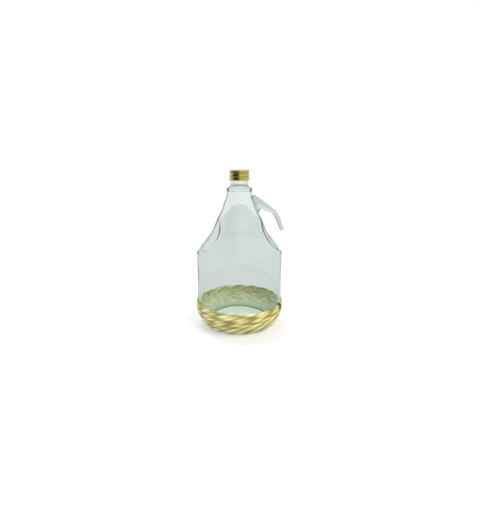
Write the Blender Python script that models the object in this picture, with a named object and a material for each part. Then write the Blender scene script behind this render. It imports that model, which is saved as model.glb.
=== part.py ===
"""Wicker demijohn: a three litre glass bottle with an open hook handle and a metal screw cap,
standing in a basket of straw strands. Metres, +Z up, with the origin at the centre of the underside."""

import math

import bmesh
import bpy
from mathutils import Vector

TAU = 2 * math.pi

# Columns and rows of the turned pieces
AROUND = 48
ARC_STEPS = 7
FILLET_STEPS = 3
HEEL_STEPS = 5
PUNT_STEPS = 4
RIM_SIDES = 8
SHARP_ANGLE = math.radians(24)

# Bottle
BODY_RADIUS = 0.0810
WALL = 0.0032
FLOOR_THICKNESS = 0.0095
CYLINDER_HEIGHT = 0.1324
SHOULDER_HEIGHT = 0.1145
HEEL_FILLET = 0.0100
PUNT_RISE = 0.0016
PUNT_RADIUS = 0.0430
NECK_RADIUS = 0.0232
NECK_LENGTH = 0.0065
RING_RADIUS = 0.0240
RING_HEIGHT = 0.0042
RING_SLOPE = 0.0035
FINISH_RADIUS = 0.0160
FINISH_FLARE = 0.0014
FINISH_HEIGHT = 0.0263
BORE_RADIUS = 0.0128
LIP_ROUND = 0.0008

# Height share above the shoulder's start, and radius share between the neck's and the body's.
SHOULDER_SHARES = (
    (0.053, 0.998),
    (0.117, 0.988),
    (0.153, 0.947),
    (0.188, 0.899),
    (0.241, 0.822),
    (0.293, 0.740),
    (0.347, 0.661),
    (0.417, 0.569),
    (0.506, 0.451),
    (0.559, 0.378),
    (0.612, 0.314),
    (0.665, 0.262),
    (0.718, 0.214),
    (0.771, 0.168),
    (0.824, 0.128),
    (0.913, 0.064),
    (0.983, 0.004),
)

# Grip hollows in the two sides of the shoulder
HOLLOW_DEPTH = 0.0052
HOLLOW_FULLNESS = 0.5
HOLLOW_HEIGHT_SHARE = 0.372
HOLLOW_UP_SHARE = 0.253
HOLLOW_DOWN_SHARE = 0.336
HOLLOW_UP_POWER = 2.0
HOLLOW_DOWN_POWER = 2.6
HOLLOW_HALF_ANGLE = math.radians(42.3)
HOLLOW_END_ANGLE = math.radians(20)
HOLLOW_END_SHARE = 0.25

# Hook handle, from its root on the shoulder to its free tip
HANDLE_REACH = 0.0596
HANDLE_DROP = 0.0680
HANDLE_THICKNESS = 0.0140
HANDLE_ROOT_INSET = 0.0026
HANDLE_ROOT_SHARE = 0.980
HANDLE_FULLNESS = 0.7
HANDLE_SIDES = 12

# Outward share of the reach and downward share of the drop, for the upper and then the lower edge,
# and the share of the thickness.
HANDLE_SHARES = (
    (-0.030, 0.030, 0.130, 0.540, 1.12),
    (0.028, 0.004, 0.200, 0.444, 1.06),
    (0.132, 0.051, 0.245, 0.404, 1.00),
    (0.276, 0.135, 0.300, 0.400, 0.96),
    (0.448, 0.249, 0.375, 0.434, 0.94),
    (0.585, 0.340, 0.483, 0.476, 0.92),
    (0.709, 0.420, 0.588, 0.516, 0.90),
    (0.792, 0.509, 0.645, 0.565, 0.88),
    (0.863, 0.610, 0.706, 0.665, 0.86),
    (0.912, 0.729, 0.764, 0.782, 0.84),
    (0.962, 0.850, 0.817, 0.888, 0.82),
    (1.000, 0.930, 0.850, 0.955, 0.78),
    (0.992, 0.976, 0.878, 0.996, 0.70),
)

# Screw thread, right handed
PITCH = 0.0040
THREAD_TURNS = 1.5
THREAD_BELOW_LIP = 0.0045
THREAD_DEPTH = 0.0011
THREAD_HALF_WIDTH = 0.0009
CAP_THREAD_DEPTH = 0.00105
CAP_THREAD_HALF_WIDTH = 0.0006
THREAD_ROOT = 0.00025
THREAD_CREST_SHARE = 0.55
THREAD_TAPER_TURNS = 0.12
THREAD_END_SHARE = 0.1

# Screw cap
CAP_SHEET = 0.0005
CAP_CLEARANCE = 0.0005
CAP_HEIGHT = 0.0180
CAP_EDGE_ROUND = 0.0009
CAP_BAND_HEIGHT = 0.0039
CAP_BAND_INSET = 0.0003
CAP_GROOVE_HEIGHT = 0.0012
CAP_GROOVE_DEPTH = 0.0007
CAP_HEM_HEIGHT = 0.0014
CAP_HEM_BULGE = 0.0004
LINER_THICKNESS = 0.0012
SEAT_GAP = 0.0003

# Basket
STRAND_COUNT = 20
STRAND_THICKNESS = 0.0015
STRAND_GAP = 0.0004
STRAND_LAY = math.radians(11)
STRAND_EDGE_SHARE = 0.55
STRAND_STEP = math.radians(10)
LAYER_GAP = 0.0004
GLASS_GAP = 0.0003
INNER_WEAVE_WALL = 0.0012
INNER_WEAVE_FLOOR = 0.0027
BASE_MAT_THICKNESS = 0.0027
BASE_MAT_CHAMFER = 0.0005
BASE_RING_WIDTH = 0.0060
BASKET_HEIGHT = 0.0492
RIM_ROPE_HEIGHT = 0.0034
SIDE_RADIUS = 0.0580
STRAND_FOOT = 0.0006

BASKET_RADIUS = BODY_RADIUS + GLASS_GAP + INNER_WEAVE_WALL + LAYER_GAP + STRAND_THICKNESS
SIDE_CENTRE_RADIUS = BASKET_RADIUS - SIDE_RADIUS
SIDE_CENTRE_Z = BASKET_HEIGHT - RIM_ROPE_HEIGHT - SEAT_GAP
STRAND_FOOT_ANGLE = math.asin((SIDE_CENTRE_Z - STRAND_FOOT) / SIDE_RADIUS)
BASE_RADIUS = SIDE_CENTRE_RADIUS + (SIDE_RADIUS - STRAND_THICKNESS) * math.cos(STRAND_FOOT_ANGLE) - LAYER_GAP
BASE_OPENING_RADIUS = BASE_RADIUS - BASE_RING_WIDTH
INNER_WEAVE_BOTTOM = BASE_MAT_THICKNESS + SEAT_GAP
BOTTLE_BOTTOM = INNER_WEAVE_BOTTOM + INNER_WEAVE_FLOOR + GLASS_GAP
SHOULDER_Z = BOTTLE_BOTTOM + CYLINDER_HEIGHT
NECK_Z = SHOULDER_Z + SHOULDER_HEIGHT
RING_Z = NECK_Z + NECK_LENGTH
FINISH_Z = RING_Z + RING_HEIGHT + RING_SLOPE
MOUTH_Z = FINISH_Z + FINISH_HEIGHT
LINER_Z = MOUTH_Z + SEAT_GAP
CAP_TOP_Z = LINER_Z + LINER_THICKNESS + SEAT_GAP + CAP_SHEET
CAP_INNER_RADIUS = FINISH_RADIUS + THREAD_DEPTH + CAP_CLEARANCE
THREAD_TOP_Z = MOUTH_Z - THREAD_BELOW_LIP


def clear_scene():
    for obj in list(bpy.data.objects):
        bpy.data.objects.remove(obj, do_unlink=True)


def material(name, colour, roughness, metallic=0.0, transmission=0.0):
    made = bpy.data.materials.new(name)
    made.use_nodes = True
    shader = made.node_tree.nodes["Principled BSDF"]
    shader.inputs["Base Color"].default_value = (*colour, 1.0)
    shader.inputs["Roughness"].default_value = roughness
    shader.inputs["Metallic"].default_value = metallic
    shader.inputs["Transmission Weight"].default_value = transmission
    return made


def place(name, bm, finish):
    """An object with this mesh, whose normals are made to face out."""
    bmesh.ops.recalc_face_normals(bm, faces=bm.faces)
    mesh = bpy.data.meshes.new(name)
    bm.to_mesh(mesh)
    bm.free()
    mesh.shade_smooth()
    mesh.set_sharp_from_angle(angle=SHARP_ANGLE)
    obj = bpy.data.objects.new(name, mesh)
    obj.data.materials.append(finish)
    bpy.context.scene.collection.objects.link(obj)
    return obj


def helper(obj):
    """Marks a cutter or an addition, which is no piece of its own."""
    obj.hide_render = True
    obj.display_type = "WIRE"
    return obj


def combine(target, other, operation):
    modifier = target.modifiers.new(other.name, "BOOLEAN")
    modifier.operation = operation
    modifier.solver = "EXACT"
    modifier.object = helper(other)


def turned(profile, closed=False):
    """A bmesh that turns a list of (radius, z) points round the Z axis. A closed profile makes a ring."""
    bm = bmesh.new()
    verts = [bm.verts.new((radius, 0.0, z)) for radius, z in profile]
    pairs = list(zip(verts, verts[1:]))
    if closed:
        pairs.append((verts[-1], verts[0]))
    edges = [bm.edges.new(pair) for pair in pairs]
    bmesh.ops.spin(
        bm,
        geom=verts + edges,
        cent=(0.0, 0.0, 0.0),
        axis=(0.0, 0.0, 1.0),
        angle=TAU,
        steps=AROUND,
        use_merge=True,
    )
    bmesh.ops.remove_doubles(bm, verts=bm.verts, dist=WALL / 1000)
    return bm


def loft(sections):
    """A bmesh that joins closed sections of equal length, with flat ends."""
    bm = bmesh.new()
    rings = [[bm.verts.new(point) for point in section] for section in sections]
    for lower, upper in zip(rings, rings[1:]):
        for i in range(len(lower)):
            j = (i + 1) % len(lower)
            bm.faces.new((lower[i], lower[j], upper[j], upper[i]))
    bm.faces.new(rings[0])
    bm.faces.new(rings[-1])
    return bm


def side_arc(offset, low_z):
    """Points of the basket's side, this far inside its outer skin, from height low_z up to the arc's top."""
    radius = SIDE_RADIUS - offset
    start = math.asin((SIDE_CENTRE_Z - low_z) / radius)
    return [side_point(offset, start * (1 - i / ARC_STEPS)) for i in range(ARC_STEPS + 1)]


def side_point(offset, angle):
    radius = SIDE_RADIUS - offset
    return (
        SIDE_CENTRE_RADIUS + radius * math.cos(angle),
        SIDE_CENTRE_Z - radius * math.sin(angle),
    )


def heel(radius, fillet, bottom):
    """The bottle's heel: from its flat bottom round a fillet and up the side's arc to the straight wall."""
    reach = radius - fillet
    meet = math.asin((SIDE_CENTRE_Z - bottom - fillet) / reach)
    centre = (
        SIDE_CENTRE_RADIUS + reach * math.cos(meet),
        SIDE_CENTRE_Z - reach * math.sin(meet),
    )
    points = []
    for i in range(FILLET_STEPS + 1):
        angle = math.pi / 2 + (meet - math.pi / 2) * i / FILLET_STEPS
        points.append((centre[0] + fillet * math.cos(angle), centre[1] - fillet * math.sin(angle)))
    for i in range(1, HEEL_STEPS + 1):
        angle = meet * (1 - i / HEEL_STEPS)
        points.append((
            SIDE_CENTRE_RADIUS + radius * math.cos(angle),
            SIDE_CENTRE_Z - radius * math.sin(angle),
        ))
    return points


def shoulder(inset):
    """The shoulder's outline, moved inwards along its own normal."""
    outline = [(BODY_RADIUS, SHOULDER_Z)]
    for up, out in SHOULDER_SHARES:
        outline.append((NECK_RADIUS + out * (BODY_RADIUS - NECK_RADIUS), SHOULDER_Z + up * SHOULDER_HEIGHT))
    outline.append((NECK_RADIUS, NECK_Z))
    moved = []
    for i, point in enumerate(outline):
        before = Vector(outline[max(i - 1, 0)])
        after = Vector(outline[min(i + 1, len(outline) - 1)])
        along = (after - before).normalized() if 0 < i < len(outline) - 1 else Vector((0.0, 1.0))
        moved.append((point[0] - along.y * inset, point[1] + along.x * inset))
    return moved


def blend(low, high, value):
    """0 below low, 1 above high, and smooth between them."""
    share = min(1.0, max(0.0, (value - low) / (high - low)))
    return share * share * (3 - 2 * share)


def hollow_rise(z):
    """Height above the hollows' middle, where 1 is their upper and -1 their lower end."""
    middle = SHOULDER_Z + HOLLOW_HEIGHT_SHARE * SHOULDER_HEIGHT
    reach = HOLLOW_UP_SHARE if z > middle else HOLLOW_DOWN_SHARE
    return (z - middle) / (reach * SHOULDER_HEIGHT)


def hollow_edge(rise):
    """Angle from a hollow's middle to its edge."""
    power = HOLLOW_UP_POWER if rise > 0 else HOLLOW_DOWN_POWER
    return max(HOLLOW_HALF_ANGLE * (1 - abs(rise) ** power) ** (1 / power), HOLLOW_END_ANGLE)


def hollow_share(rise):
    """How deep a hollow is along its middle: it fades out slowly upwards, and soon at its lower end."""
    return 1 - blend(0.0, 1.0, rise) if rise > 0 else blend(-1.0, HOLLOW_END_SHARE - 1.0, rise)


def press_hollows(bm):
    """Draws the shoulder in at +X and -X. The nearest column of each row moves onto the hollow's edge."""
    for vert in bm.verts:
        x, y, z = vert.co
        radius = math.hypot(x, y)
        rise = hollow_rise(z)
        if abs(rise) >= 1 or radius <= NECK_RADIUS:
            continue
        edge = hollow_edge(rise)
        side = math.atan2(abs(y), abs(x))
        if abs(side - edge) < math.pi / AROUND:
            side = edge
        inside = max(0.0, 1 - (side / edge) ** 2)
        radius -= HOLLOW_DEPTH * hollow_share(rise) * inside**HOLLOW_FULLNESS
        vert.co = (math.copysign(radius * math.cos(side), x), math.copysign(radius * math.sin(side), y), z)


def punt(bottom):
    """The raised middle of the bottle's bottom, from the axis out to the ring that it stands on."""
    points = []
    for i in range(PUNT_STEPS + 1):
        share = i / PUNT_STEPS
        points.append((PUNT_RADIUS * share, bottom + PUNT_RISE * (1 - share * share)))
    return points


def bottle_outside():
    radius = SIDE_RADIUS - (BASKET_RADIUS - BODY_RADIUS)
    profile = punt(BOTTLE_BOTTOM)
    profile += heel(radius, HEEL_FILLET, BOTTLE_BOTTOM)
    profile += shoulder(0.0)
    ring_round = RING_HEIGHT / 4
    profile += [
        (NECK_RADIUS, RING_Z),
        (RING_RADIUS, RING_Z + ring_round),
        (RING_RADIUS, RING_Z + RING_HEIGHT - ring_round),
        (RING_RADIUS - ring_round, RING_Z + RING_HEIGHT),
        (FINISH_RADIUS + FINISH_FLARE, FINISH_Z),
        (FINISH_RADIUS, FINISH_Z + 2 * FINISH_FLARE),
        (FINISH_RADIUS, MOUTH_Z - LIP_ROUND),
        (FINISH_RADIUS - LIP_ROUND, MOUTH_Z),
        (0.0, MOUTH_Z),
    ]
    bm = turned(profile)
    press_hollows(bm)
    return bm


def bottle_inside():
    radius = SIDE_RADIUS - (BASKET_RADIUS - BODY_RADIUS) - WALL
    floor = BOTTLE_BOTTOM + FLOOR_THICKNESS
    profile = punt(floor)
    profile += heel(radius, HEEL_FILLET - WALL, floor)
    profile += shoulder(WALL)
    profile += [
        (NECK_RADIUS - WALL, RING_Z),
        (BORE_RADIUS, FINISH_Z),
        (BORE_RADIUS, MOUTH_Z + CAP_HEIGHT),
        (0.0, MOUTH_Z + CAP_HEIGHT),
    ]
    bm = turned(profile)
    press_hollows(bm)
    return bm


def handle():
    """A flat bar with rounded edges that leaves the shoulder, bends once and ends free."""
    root = Vector((NECK_RADIUS + HANDLE_ROOT_INSET, 0.0, SHOULDER_Z + HANDLE_ROOT_SHARE * SHOULDER_HEIGHT))
    sections = []
    for upper_out, upper_down, lower_out, lower_down, thickness_share in HANDLE_SHARES:
        upper = root + Vector((upper_out * HANDLE_REACH, 0.0, -upper_down * HANDLE_DROP))
        lower = root + Vector((lower_out * HANDLE_REACH, 0.0, -lower_down * HANDLE_DROP))
        half_thickness = Vector((0.0, HANDLE_THICKNESS * thickness_share / 2, 0.0))
        sections.append(bar_section((upper + lower) / 2, (upper - lower) / 2, half_thickness))
    return loft(sections)


def bar_section(middle, half_width, half_thickness):
    """A rounded oblong, fuller than an ellipse."""
    points = []
    for i in range(HANDLE_SIDES):
        angle = TAU * i / HANDLE_SIDES
        c = math.copysign(abs(math.cos(angle)) ** HANDLE_FULLNESS, math.cos(angle))
        s = math.copysign(abs(math.sin(angle)) ** HANDLE_FULLNESS, math.sin(angle))
        points.append(middle + half_width * c + half_thickness * s)
    return points


def thread(root, crest, half_width, top_z):
    """A ridge along a right-handed helix that ends at height top_z and tapers into its wall."""
    steps = round(THREAD_TURNS * AROUND)
    sections = []
    for i in range(steps + 1):
        turn = i / AROUND
        from_end = min(turn, THREAD_TURNS - turn)
        height_share = min(1.0, THREAD_END_SHARE + from_end / THREAD_TAPER_TURNS)
        tip = root + (crest - root) * height_share
        z = top_z - (THREAD_TURNS - turn) * PITCH
        crest_half = half_width * THREAD_CREST_SHARE
        corners = ((root, -half_width), (tip, -crest_half), (tip, crest_half), (root, half_width))
        out = Vector((math.cos(TAU * turn), math.sin(TAU * turn), 0.0))
        sections.append([out * radius + Vector((0.0, 0.0, z + rise)) for radius, rise in corners])
    return loft(sections)


def build_bottle(glass):
    bottle = place("bottle", bottle_outside(), glass)
    combine(bottle, place("handle_shape", handle(), glass), "UNION")
    ridge = thread(
        FINISH_RADIUS - THREAD_ROOT,
        FINISH_RADIUS + THREAD_DEPTH,
        THREAD_HALF_WIDTH,
        THREAD_TOP_Z,
    )
    combine(bottle, place("thread_shape", ridge, glass), "UNION")
    combine(bottle, place("inside_shape", bottle_inside(), glass), "DIFFERENCE")


def build_cap(gold, liner_finish):
    inner = CAP_INNER_RADIUS
    outer = inner + CAP_SHEET
    band = outer - CAP_BAND_INSET
    bottom = CAP_TOP_Z - CAP_HEIGHT
    groove_z = CAP_TOP_Z - CAP_BAND_HEIGHT
    bead = CAP_GROOVE_DEPTH
    profile = [
        (0.0, CAP_TOP_Z),
        (band - CAP_EDGE_ROUND, CAP_TOP_Z),
        (band, CAP_TOP_Z - CAP_EDGE_ROUND),
        (band, groove_z),
        (outer - bead, groove_z - bead / 2),
        (outer - bead, groove_z - CAP_GROOVE_HEIGHT),
        (outer, groove_z - CAP_GROOVE_HEIGHT - bead),
        (outer, bottom + CAP_HEM_HEIGHT),
        (outer + CAP_HEM_BULGE, bottom + CAP_HEM_HEIGHT * 2 / 3),
        (outer + CAP_HEM_BULGE, bottom + CAP_HEM_HEIGHT / 3),
        (outer, bottom),
        (inner, bottom),
        (inner, groove_z - CAP_GROOVE_HEIGHT - bead),
        (inner - bead, groove_z - CAP_GROOVE_HEIGHT),
        (inner - bead, groove_z - bead / 2),
        (band - CAP_SHEET, groove_z),
        (band - CAP_SHEET, CAP_TOP_Z - CAP_SHEET),
        (0.0, CAP_TOP_Z - CAP_SHEET),
    ]
    shell = place("cap_shell", turned(profile), gold)
    ridge = thread(
        inner + THREAD_ROOT,
        inner - CAP_THREAD_DEPTH,
        CAP_THREAD_HALF_WIDTH,
        THREAD_TOP_Z - PITCH / 2,
    )
    combine(shell, place("cap_thread_shape", ridge, gold), "UNION")
    liner_radius = FINISH_RADIUS + SEAT_GAP
    disc = [
        (0.0, LINER_Z),
        (liner_radius, LINER_Z),
        (liner_radius, LINER_Z + LINER_THICKNESS),
        (0.0, LINER_Z + LINER_THICKNESS),
    ]
    place("cap_liner", turned(disc), liner_finish)


def build_inner_weave(straw):
    outer_offset = STRAND_THICKNESS + LAYER_GAP
    outside = side_arc(outer_offset, INNER_WEAVE_BOTTOM)
    inside = side_arc(outer_offset + INNER_WEAVE_WALL, INNER_WEAVE_BOTTOM + INNER_WEAVE_FLOOR)
    profile = [(BASE_OPENING_RADIUS, INNER_WEAVE_BOTTOM)] + outside + inside[::-1]
    profile.append((BASE_OPENING_RADIUS, INNER_WEAVE_BOTTOM + INNER_WEAVE_FLOOR))
    place("inner_weave", turned(profile, closed=True), straw)


def build_rim_rope(straw):
    half_width = (BASKET_RADIUS - BODY_RADIUS - GLASS_GAP) / 2
    half_height = RIM_ROPE_HEIGHT / 2
    fit = 1 / math.cos(math.pi / RIM_SIDES)
    profile = []
    for i in range(RIM_SIDES):
        angle = TAU * (i + 0.5) / RIM_SIDES
        radius = BASKET_RADIUS - half_width + half_width * fit * math.cos(angle)
        profile.append((radius, BASKET_HEIGHT - half_height + half_height * fit * math.sin(angle)))
    place("rim_rope", turned(profile, closed=True), straw)


def build_base_mat(straw):
    profile = [
        (BASE_OPENING_RADIUS, 0.0),
        (BASE_RADIUS - BASE_MAT_CHAMFER, 0.0),
        (BASE_RADIUS, BASE_MAT_CHAMFER),
        (BASE_RADIUS, BASE_MAT_THICKNESS),
        (BASE_OPENING_RADIUS, BASE_MAT_THICKNESS),
    ]
    place("base_mat", turned(profile, closed=True), straw)


def strand(start_turn):
    """One straw strand, a lens in section, that climbs the basket's side as it runs round it."""
    turn = SIDE_RADIUS * STRAND_FOOT_ANGLE / (BASKET_RADIUS * math.tan(STRAND_LAY))
    rows = math.ceil(turn / STRAND_STEP)
    gap_angle = STRAND_GAP / (BASKET_RADIUS * math.sin(STRAND_LAY))
    half = (TAU / STRAND_COUNT - gap_angle) / 2
    edge = STRAND_THICKNESS * (1 - STRAND_EDGE_SHARE)
    bm = bmesh.new()
    sections = []
    for i in range(rows + 1):
        angle = STRAND_FOOT_ANGLE * (1 - i / rows)
        round_ = start_turn + turn * i / rows
        section = []
        for across, offset in ((-1, edge), (0, 0.0), (1, edge), (1, None), (0, None), (-1, None)):
            radius, z = side_point(STRAND_THICKNESS if offset is None else offset, angle)
            place_angle = round_ + across * half
            section.append(bm.verts.new((radius * math.cos(place_angle), radius * math.sin(place_angle), z)))
        sections.append(section)
    for lower, upper in zip(sections, sections[1:]):
        for i in range(6):
            j = (i + 1) % 6
            if i < 3:
                bm.faces.new((lower[i], lower[j], upper[i]))
                bm.faces.new((lower[j], upper[j], upper[i]))
            else:
                bm.faces.new((lower[i], lower[j], upper[j]))
                bm.faces.new((lower[i], upper[j], upper[i]))
    for end in (sections[0], sections[-1]):
        bm.faces.new((end[0], end[1], end[4], end[5]))
        bm.faces.new((end[1], end[2], end[3], end[4]))
    return bm


def build_strands(straw):
    for i in range(STRAND_COUNT):
        place(f"strand_{i + 1:02d}", strand(TAU * i / STRAND_COUNT), straw)


def main():
    clear_scene()
    glass = material("glass", (0.80, 0.90, 0.88), 0.02, transmission=1.0)
    gold = material("gold_tin", (0.62, 0.50, 0.16), 0.22, metallic=1.0)
    liner_finish = material("liner", (0.85, 0.84, 0.80), 0.60)
    straw = material("straw", (0.62, 0.54, 0.22), 0.55)
    build_bottle(glass)
    build_cap(gold, liner_finish)
    build_inner_weave(straw)
    build_rim_rope(straw)
    build_base_mat(straw)
    build_strands(straw)


main()
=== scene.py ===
"""The looks of the wicker demijohn: clear glass, a gold screw cap and a straw basket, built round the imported
model. Metres, +Z up."""

import math
import random

import bmesh
import bpy
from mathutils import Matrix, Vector, noise


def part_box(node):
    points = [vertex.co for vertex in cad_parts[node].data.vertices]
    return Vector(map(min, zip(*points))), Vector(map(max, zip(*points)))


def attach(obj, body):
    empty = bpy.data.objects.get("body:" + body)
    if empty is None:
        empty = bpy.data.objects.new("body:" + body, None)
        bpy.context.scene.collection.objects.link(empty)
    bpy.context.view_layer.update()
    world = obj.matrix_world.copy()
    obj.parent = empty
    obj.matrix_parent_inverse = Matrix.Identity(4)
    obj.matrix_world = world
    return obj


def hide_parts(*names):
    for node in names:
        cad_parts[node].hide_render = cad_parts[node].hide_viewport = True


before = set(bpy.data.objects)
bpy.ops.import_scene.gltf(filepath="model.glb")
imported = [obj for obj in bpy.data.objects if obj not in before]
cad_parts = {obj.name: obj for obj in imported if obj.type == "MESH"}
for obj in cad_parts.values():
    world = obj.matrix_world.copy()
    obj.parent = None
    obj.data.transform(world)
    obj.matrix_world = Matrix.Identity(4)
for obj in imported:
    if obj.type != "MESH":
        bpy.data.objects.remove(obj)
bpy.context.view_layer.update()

TAU = 2 * math.pi


def low(node):
    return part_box(node)[0]


def high(node):
    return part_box(node)[1]


# Bottle, read from the imported model
BODY_RADIUS = high("bottle").y
BOTTLE_BOTTOM = low("bottle").z
MOUTH_Z = high("bottle").z

# Bottle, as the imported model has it
WALL = 0.0032
FLOOR_THICKNESS = 0.0095
CYLINDER_HEIGHT = 0.1324
SHOULDER_HEIGHT = 0.1145
HEEL_FILLET = 0.0100
PUNT_RISE = 0.0016
PUNT_RADIUS = 0.0430
NECK_RADIUS = 0.0232
NECK_LENGTH = 0.0065
RING_RADIUS = 0.0240
RING_HEIGHT = 0.0042
RING_SLOPE = 0.0035
FINISH_RADIUS = 0.0160
FINISH_FLARE = 0.0014
BORE_RADIUS = 0.0128
LIP_ROUND = 0.0008
SHOULDER_Z = BOTTLE_BOTTOM + CYLINDER_HEIGHT
NECK_Z = SHOULDER_Z + SHOULDER_HEIGHT
RING_Z = NECK_Z + NECK_LENGTH
FINISH_Z = RING_Z + RING_HEIGHT + RING_SLOPE

# Height share above the shoulder's start, and radius share between the neck's and the body's
SHOULDER_SHARES = (
    (0.053, 0.998),
    (0.117, 0.988),
    (0.153, 0.947),
    (0.188, 0.899),
    (0.241, 0.822),
    (0.293, 0.740),
    (0.347, 0.661),
    (0.417, 0.569),
    (0.506, 0.451),
    (0.559, 0.378),
    (0.612, 0.314),
    (0.665, 0.262),
    (0.718, 0.214),
    (0.771, 0.168),
    (0.824, 0.128),
    (0.913, 0.064),
    (0.983, 0.004),
)

# Fineness of the bottle's mesh
BOTTLE_COLUMNS = 192
OUTLINE_STEPS = 8
OUTLINE_STEP = 0.0016
WALL_STEP = 0.0040
HEEL_STEPS = 14
PUNT_STEPS = 16
BEAD_STEPS = 5
HANDLE_STEPS = 6
HANDLE_SIDES = 36
HANDLE_TIP = 0.0018
HANDLE_TIP_STEPS = 6
HANDLE_TIP_FULLNESS = 0.6
THREAD_COLUMNS = 96
THREAD_SIDES = 6
GLASS_SHARP_ANGLE = math.radians(40)
SHARP_ANGLE = math.radians(35)

# Waves of the bottle's inner wall
RIPPLE = 0.00012
RIPPLE_LENGTH = 0.030

# Grip hollows
HOLLOW_DEPTH = 0.0052
HOLLOW_FULLNESS = 0.5
HOLLOW_HEIGHT_SHARE = 0.372
HOLLOW_UP_SHARE = 0.253
HOLLOW_DOWN_SHARE = 0.336
HOLLOW_UP_POWER = 2.0
HOLLOW_DOWN_POWER = 2.6
HOLLOW_HALF_ANGLE = math.radians(42.3)
HOLLOW_TIP_ANGLE = math.radians(20)
HOLLOW_END_SHARE = 0.25
HOLLOW_FAN_SHARE = 0.35

# Handle: outward share of the reach and downward share of the drop, for the upper and then the lower
# edge, and the share of the thickness.
HANDLE_REACH = 0.0596
HANDLE_DROP = 0.0680
HANDLE_THICKNESS = 0.0140
HANDLE_ROOT_INSET = 0.0026
HANDLE_ROOT_SHARE = 0.980
HANDLE_FULLNESS = 0.7
HANDLE_SHARES = (
    (-0.030, 0.030, 0.130, 0.540, 1.12),
    (0.028, 0.004, 0.200, 0.444, 1.06),
    (0.132, 0.051, 0.245, 0.404, 1.00),
    (0.276, 0.135, 0.300, 0.400, 0.96),
    (0.448, 0.249, 0.375, 0.434, 0.94),
    (0.585, 0.340, 0.483, 0.476, 0.92),
    (0.709, 0.420, 0.588, 0.516, 0.90),
    (0.792, 0.509, 0.645, 0.565, 0.88),
    (0.863, 0.610, 0.706, 0.665, 0.86),
    (0.912, 0.729, 0.764, 0.782, 0.84),
    (0.962, 0.850, 0.817, 0.888, 0.82),
    (1.000, 0.930, 0.850, 0.955, 0.78),
    (0.992, 0.976, 0.878, 0.996, 0.70),
)

# Screw thread
PITCH = 0.0040
THREAD_TURNS = 1.5
THREAD_BELOW_LIP = 0.0045
THREAD_DEPTH = 0.0011
THREAD_HALF_WIDTH = 0.0009
THREAD_ROOT = 0.00025
THREAD_TAPER_TURNS = 0.12
THREAD_FULLNESS = 0.8
THREAD_TOP_Z = MOUTH_Z - THREAD_BELOW_LIP

# Cap
CAP_TOP_Z = high("cap_shell").z
CAP_BOTTOM_Z = low("cap_shell").z
CAP_HEM_BULGE = 0.0004
CAP_RADIUS = high("cap_shell").y - CAP_HEM_BULGE
CAP_SHEET = 0.0005
CAP_EDGE_ROUND = 0.0009
CAP_BAND_HEIGHT = 0.0039
CAP_BAND_INSET = 0.0003
CAP_GROOVE_HEIGHT = 0.0012
CAP_GROOVE_DEPTH = 0.0009
CAP_HEM_HEIGHT = 0.0014
CAP_THREAD_DEPTH = 0.00085
CAP_THREAD_HALF_WIDTH = 0.0011
CAP_KNURL_DEPTH = 0.00022
CAP_PANEL_RADIUS = 0.0128
CAP_PANEL_DEPTH = 0.00030
LINER_RING_SHARE = 0.78

# Basket, read from the imported model but for the radius of its side's arc
BASKET_RADIUS = high("rim_rope").y
RIM_TOP_Z = high("rim_rope").z
MAT_RADIUS = high("base_mat").y
SIDE_RADIUS = 0.0580
SIDE_CENTRE_RADIUS = BASKET_RADIUS - SIDE_RADIUS
SIDE_CENTRE_Z = high("inner_weave").z

# Straw strands of the outside
STRAND_COUNT = 20
STRAND_LAY = math.radians(11)
STRAND_THICKNESS = 0.0016
STRAND_OVERLAP_SHARE = 1.18
STRAND_PROUD = 0.0005
STRAND_FOLD_RADIUS = 0.00110
STRAND_TAIL_Z = 0.0390
STRAND_FOOT_Z = 0.0012
STRAND_START_RADIUS = 0.0590
STRAND_FLAT_SPACINGS = 4
STRAND_BLUNT_SPACINGS = 5
STRAND_LENS = 0.0210
STRAND_LEAF = 4 * STRAND_LENS
LEAF_FIRST_SHARES = (0.3, 1.3)
LEAF_SHARES = (0.6, 1.4)
STRAND_BULGE = 0.00060
STRAND_TILT = 0.00050
STRAND_SWELL_SHARE = 0.20
STRAND_FOLD_THINNING = 0.2
# Share of the tone that follows the swellings: paler on each crest and darker in each trough, as painted
# highlight and shade
STRAND_CREST_LIGHT_SHARE = 0.7
STRAND_WANDER = 0.0007
STRAND_WANDER_LENGTH = 0.045
STRAND_NOISE_SPREAD = 3.7
STRAND_TWIST_LAYER = 9.0
STRAND_TAPER = 0.012
STRAND_STEP = 0.0026
STRAND_SIDES = 9
STRAND_EDGE_SHARE = 0.08

# A strand's end, tucked in under the rim at the right of the front, and coloured near-black as painted shade
# of a gap in the weave
TUCKED_INDEX = 3
TUCKED_PLACE = 0.0530
TUCKED_TURN = math.radians(-33)
TUCKED_LEAN = math.radians(25)
TUCKED_LENGTH = 0.0100
TUCKED_WIDTH = 0.0105
TUCKED_LIFT = 0.0021
TUCKED_TIP_SHARE = 0.05
TUCKED_SHADE_TONE = -2.0
TUCKED_STEPS = 12

# Lining: the strands' inner runs, which wind down the wall and under the bottle's edge
COIL_STARTS = 36
COIL_SHIFT = 0.37
COIL_PITCH = 0.0024
COIL_THICKNESS = 0.0009
COIL_OVERLAP_SHARE = 1.25
COIL_EDGE_SHARE = 1.2
COIL_STEP = 0.0032
COIL_OFFSET = 0.0027
COIL_FLOOR_Z = 0.0048
COIL_LEAF = 0.009
COIL_CONTRAST = 1.1
COIL_TONE = 0.56
COIL_TONE_RISE = 0.80
COIL_TILT = 0.0002
COIL_WANDER = 0.0010
COIL_NOISE_SPREAD = 5.1
COIL_STREAK_SPREAD = 3.3
COIL_WANDER_LAYER = 2.0
COIL_SWELL_LAYER = 4.0
COIL_STREAK_LAYER = 7.0
LINING_TOP_Z = 0.0452
LINING_FLAT_RADIUS = 0.0600
LINING_SEED = 71
LINING_EDGE_SEED = 73
LINING_EDGE_PITCHES = 2.5

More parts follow.
